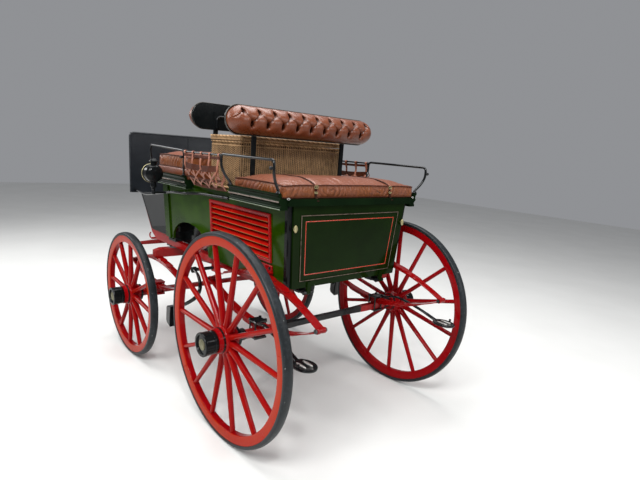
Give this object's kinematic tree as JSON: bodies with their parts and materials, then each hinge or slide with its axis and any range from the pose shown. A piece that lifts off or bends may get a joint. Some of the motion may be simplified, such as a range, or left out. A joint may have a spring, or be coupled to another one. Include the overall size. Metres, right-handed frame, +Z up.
{
  "type": "dog cart carriage",
  "caption": "Horse-drawn dog cart with back-to-back seats, louvred boot, wicker hamper, elliptic springs and a turning fore-carriage on spoked wheels.",
  "frame": {"origin": "middle of the carriage's footprint, on the ground", "axes": "+X to the front, +Y to the left, +Z up"},
  "size_m": [2.4957, 1.6245, 1.795],
  "materials": {
    "red_wood": "gloss vermilion coach paint on wood, faded and dusty in the hollows",
    "red_iron": "gloss crimson-red coach paint on iron",
    "green_wood": "very dark green coach paint, high gloss varnish",
    "black_wood": "black coach paint, gloss",
    "black_iron": "black enamel on iron, worn on the edges",
    "black_tyre": "solid black tyre, scuffed grey",
    "tan_leather": "tan-brown leather, buttoned and piped, creased",
    "strap_leather": "brown strap leather",
    "wicker": "honey-coloured woven willow",
    "brass": "worn brass"
  },
  "bodies": {
    "carriage": {"boot_floor": "black_wood", "side_panel_left": "green_wood", "side_panel_right": "green_wood", "louvre_left": "red_wood", "louvre_right": "red_wood", "rear_pillar_left": "black_wood", "rear_pillar_right": "black_wood", "deck_board": "green_wood", "sill_left": "red_wood", "sill_right": "red_wood", "rear_seat_board": "green_wood", "front_seat_board": "green_wood", "rear_cushion": "tan_leather", "front_cushion": "tan_leather", "rear_back_roll": "tan_leather", "front_back_roll": "tan_leather", "rear_backboard": "black_iron", "front_backboard": "black_iron", "seat_rails_left": "black_iron", "seat_rails_right": "black_iron", "strap_net_left": "strap_leather", "strap_net_right": "strap_leather", "wing_iron_left": "black_iron", "wing_iron_right": "black_iron", "lamp_left": "black_iron", "lamp_right": "black_iron", "dash_panel": "black_wood", "footboard": "black_wood", "turntable_plate": "black_iron", "rear_spring_left": "red_iron", "rear_spring_right": "red_iron", "rear_axle": "red_iron", "clamp_and_step_left": "black_iron", "clamp_and_step_right": "black_iron", "hamper_basket": "wicker", "brake_quadrant": "black_iron"},
    "tailboard_body": {"tailboard": "green_wood"},
    "left_turn_body": {"thumb_turn_left": "brass"},
    "right_turn_body": {"thumb_turn_right": "brass"},
    "hamper_lid_body": {"hamper_lid": "wicker"},
    "fore_carriage": {"fore_carriage_frame": "red_wood", "front_spring_left": "red_iron", "front_spring_right": "red_iron", "front_axle": "red_iron"},
    "swingletree_body": {"swingletree": "red_wood"},
    "brake_lever_body": {"brake_lever": "black_iron"},
    "brake_rod_body": {"brake_rod": "black_iron"},
    "brake_shaft_body": {"brake_shaft": "black_iron"},
    "rear_left_wheel_body": {"rear_left_wheel": "red_wood", "rear_left_tyre": "black_tyre", "rear_left_cap": "black_iron"},
    "rear_right_wheel_body": {"rear_right_wheel": "red_wood", "rear_right_tyre": "black_tyre", "rear_right_cap": "black_iron"},
    "front_left_wheel_body": {"front_left_wheel": "red_wood", "front_left_tyre": "black_tyre", "front_left_cap": "black_iron"},
    "front_right_wheel_body": {"front_right_wheel": "red_wood", "front_right_tyre": "black_tyre", "front_right_cap": "black_iron"}
  },
  "joints": [
    {"name": "tailboard_drop", "type": "hinge", "parent": "carriage", "child": "tailboard_body", "pos_m": [-0.8581, 0, 0.802], "axis": [0, -1, 0], "range_deg": [0, 80]},
    {"name": "left_turn_twist", "type": "hinge", "parent": "tailboard_body", "child": "left_turn_body", "pos_m": [-0.8773, 0.414, 1.157], "axis": [1, 0, 0], "range_deg": [0, 90]},
    {"name": "right_turn_twist", "type": "hinge", "parent": "tailboard_body", "child": "right_turn_body", "pos_m": [-0.8773, -0.414, 1.157], "axis": [1, 0, 0], "range_deg": [0, 90]},
    {"name": "hamper_lid_open", "type": "hinge", "parent": "carriage", "child": "hamper_lid_body", "pos_m": [-0.3211, 0, 1.5776], "axis": [0, -1, 0], "range_deg": [0, 92]},
    {"name": "rear_left_spin", "type": "hinge", "parent": "carriage", "child": "rear_left_wheel_body", "pos_m": [-0.6821, 0.678, 0.55969], "axis": [0, 0.9995, -0.0332], "continuous": true},
    {"name": "rear_right_spin", "type": "hinge", "parent": "carriage", "child": "rear_right_wheel_body", "pos_m": [-0.6821, -0.678, 0.55969], "axis": [0, 0.9995, 0.0332], "continuous": true},
    {"name": "front_left_spin", "type": "hinge", "parent": "fore_carriage", "child": "front_left_wheel_body", "pos_m": [0.6379, 0.678, 0.44476], "axis": [0, 0.9995, -0.0332], "continuous": true},
    {"name": "front_right_spin", "type": "hinge", "parent": "fore_carriage", "child": "front_right_wheel_body", "pos_m": [0.6379, -0.678, 0.44476], "axis": [0, 0.9995, 0.0332], "continuous": true},
    {"name": "fore_carriage_turn", "type": "hinge", "parent": "carriage", "child": "fore_carriage", "pos_m": [0.6379, 0, 0.787], "axis": [0, 0, 1], "range_deg": [-28, 28]},
    {"name": "swingletree_swing", "type": "hinge", "parent": "fore_carriage", "child": "swingletree_body", "pos_m": [1.1929, 0, 0.7014], "axis": [0, 0, 1], "range_deg": [-12, 12]},
    {"name": "brake_lever_pull", "type": "hinge", "parent": "carriage", "child": "brake_lever_body", "pos_m": [0.5859, -0.505, 0.95], "axis": [0, -1, 0], "range_deg": [0, 24]},
    {"name": "brake_rod_level", "type": "hinge", "parent": "brake_lever_body", "child": "brake_rod_body", "pos_m": [0.57551, -0.505, 0.90109], "axis": [0, -1, 0], "range_deg": [-24, 0]},
    {"name": "brake_shaft_turn", "type": "hinge", "parent": "carriage", "child": "brake_shaft_body", "pos_m": [-0.0221, 0, 0.757], "axis": [0, 1, 0], "range_deg": [0, 8]}
  ],
  "couplings": [
    {"joint": "brake_rod_level", "follows": "brake_lever_pull", "ratio": -1},
    {"joint": "brake_shaft_turn", "follows": "brake_lever_pull", "ratio": 0.33333}
  ]
}
